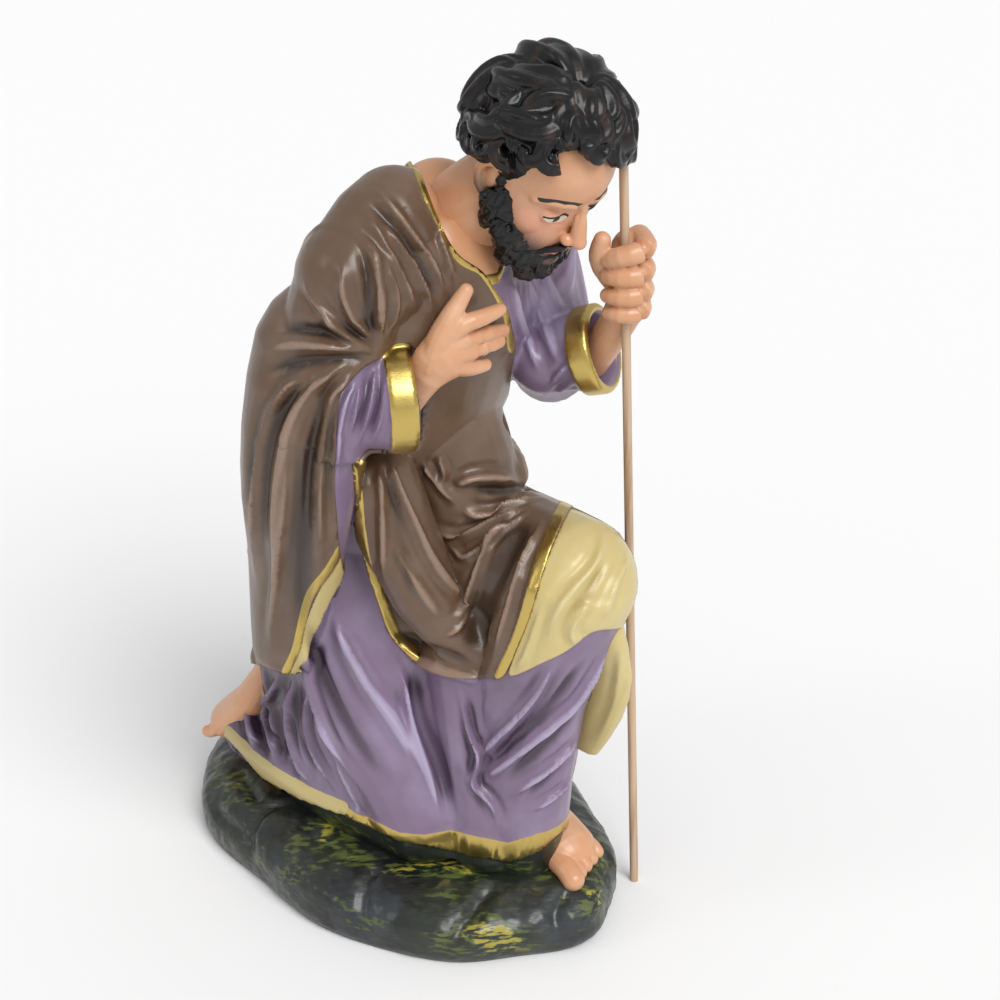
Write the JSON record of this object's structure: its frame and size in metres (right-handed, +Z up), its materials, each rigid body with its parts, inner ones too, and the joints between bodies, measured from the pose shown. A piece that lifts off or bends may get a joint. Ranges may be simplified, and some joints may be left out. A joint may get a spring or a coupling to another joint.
{
  "type": "kneeling saint statue",
  "caption": "Painted cast statue of a bearded saint kneeling on a rock in cloak and robe, one hand on his chest, the other round a loose wooden staff",
  "frame": {"origin": "on the floor, under the middle of the whole object's box", "axes": "+Z up along the longest extent; -Y is the display side, towards which the figure is meant to be seen"},
  "size_m": [0.3316, 0.3084, 0.6339],
  "materials": {
    "painted_plaster": "cast plaster painted in satin brown, mauve, flesh, black and gold",
    "pale_wood": "bare sanded dowel"
  },
  "bodies": {
    "root": {"figure": "painted_plaster", "staff": "pale_wood"}
  },
  "joints": []
}
